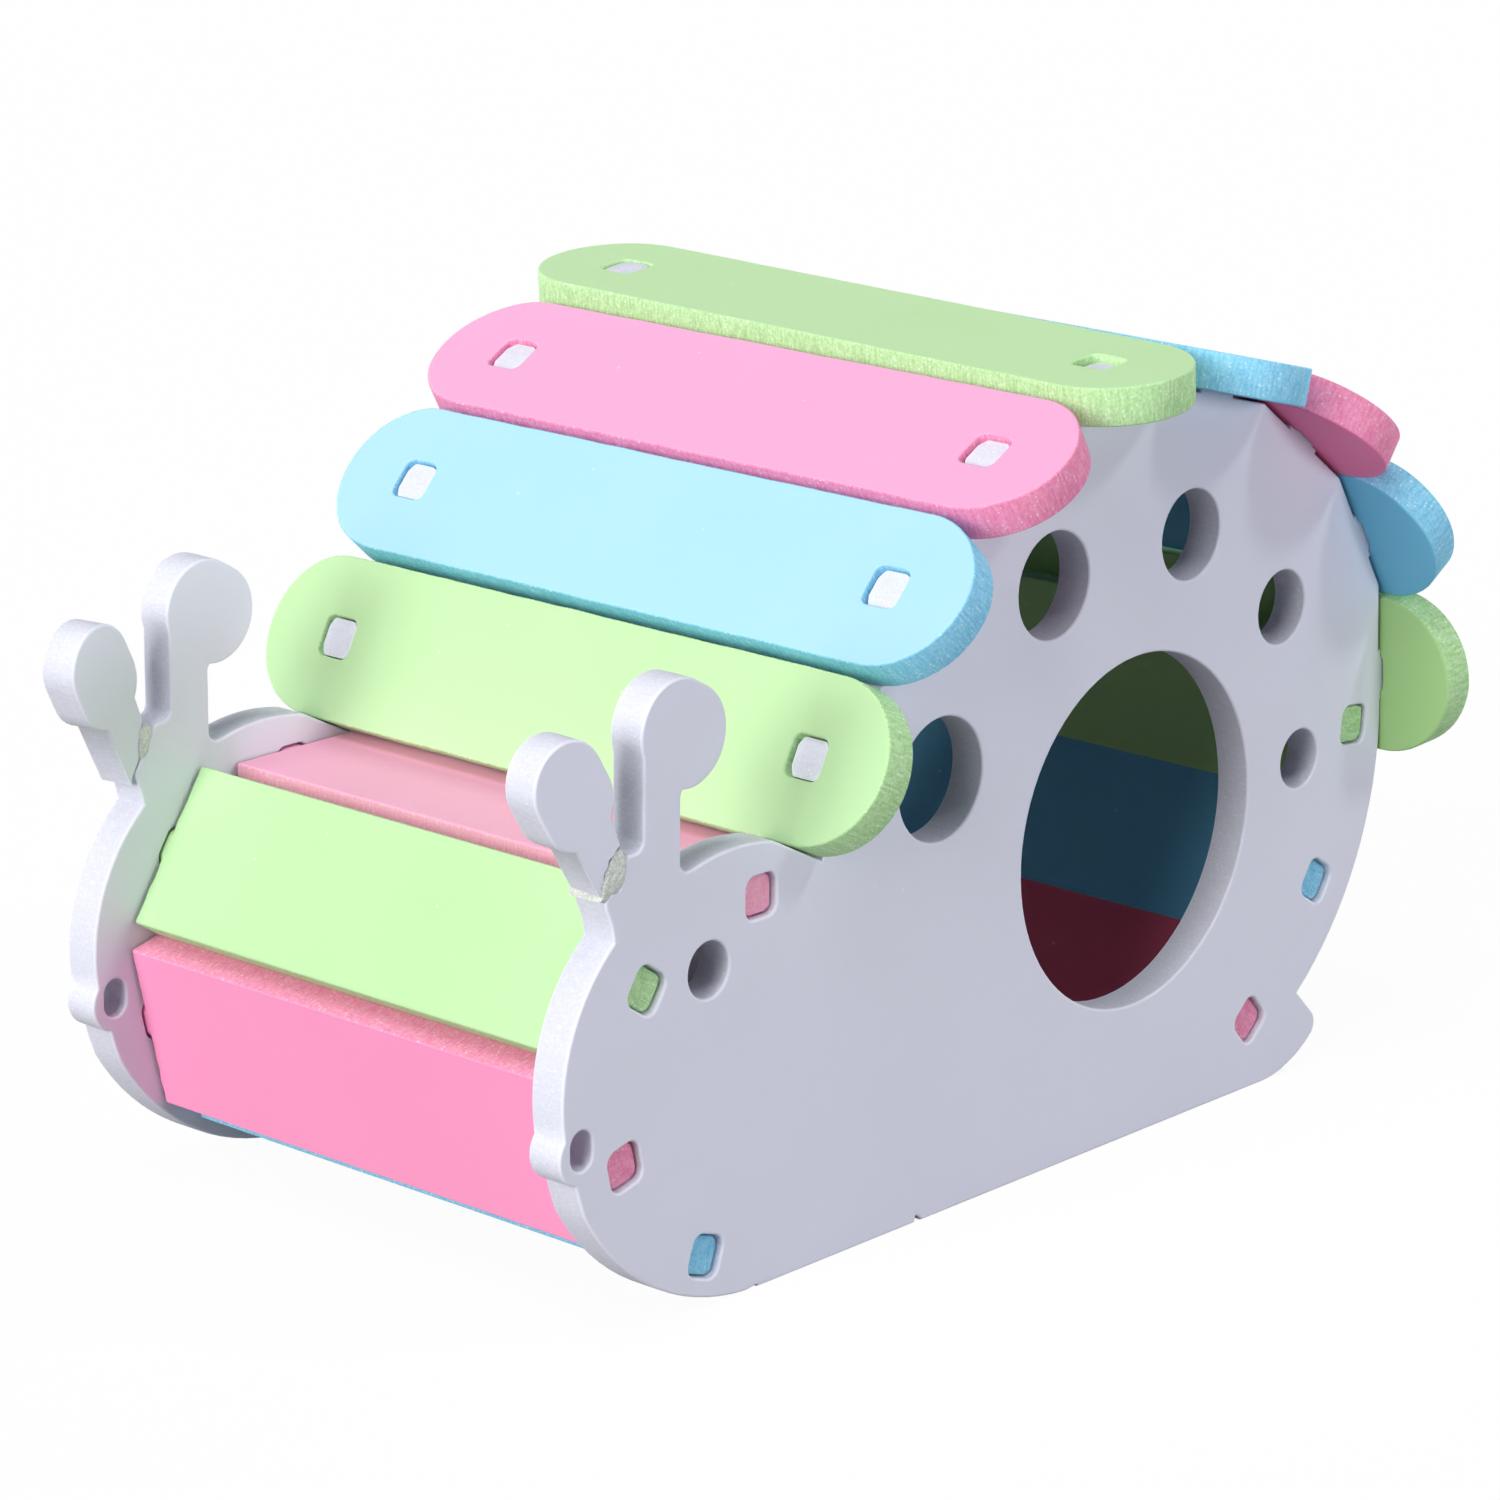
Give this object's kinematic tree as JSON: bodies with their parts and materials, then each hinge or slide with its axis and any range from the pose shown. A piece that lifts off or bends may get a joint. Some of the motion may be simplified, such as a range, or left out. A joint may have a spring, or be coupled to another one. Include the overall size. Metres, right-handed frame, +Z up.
{
  "type": "small pet hideout",
  "caption": "Snail-shaped hideout of slotted foam board: side panels with a round entrance, antennae and vents, roofed by overhanging round-ended slats, open underneath.",
  "frame": {"origin": "on the floor, at the middle of the bounding box's underside, half way between the two side panels", "axes": "+X runs from the head to the tail, so the snail faces along -X; +Y runs from the left panel to the right panel; +Z is up"},
  "size_m": [0.168, 0.1046, 0.1039],
  "materials": {
    "white_board": "smooth matt white foam board with a fine-celled cut edge",
    "green_board": "smooth matt pale green foam board with a fine-celled cut edge",
    "blue_board": "smooth matt pale blue foam board with a fine-celled cut edge",
    "pink_board": "smooth matt pink foam board with a fine-celled cut edge"
  },
  "bodies": {
    "root": {"left_panel": "white_board", "right_panel": "white_board", "roof_slat_1": "green_board", "roof_slat_2": "blue_board", "roof_slat_3": "pink_board", "roof_slat_4": "green_board", "roof_slat_5": "blue_board", "roof_slat_6": "pink_board", "roof_slat_7": "blue_board", "roof_slat_8": "green_board", "neck_slat": "pink_board", "face_slat": "green_board", "chin_slat": "pink_board", "front_floor_slat": "blue_board", "rear_upper_slat": "green_board", "rear_middle_slat": "blue_board", "rear_lower_slat": "pink_board"}
  },
  "joints": []
}
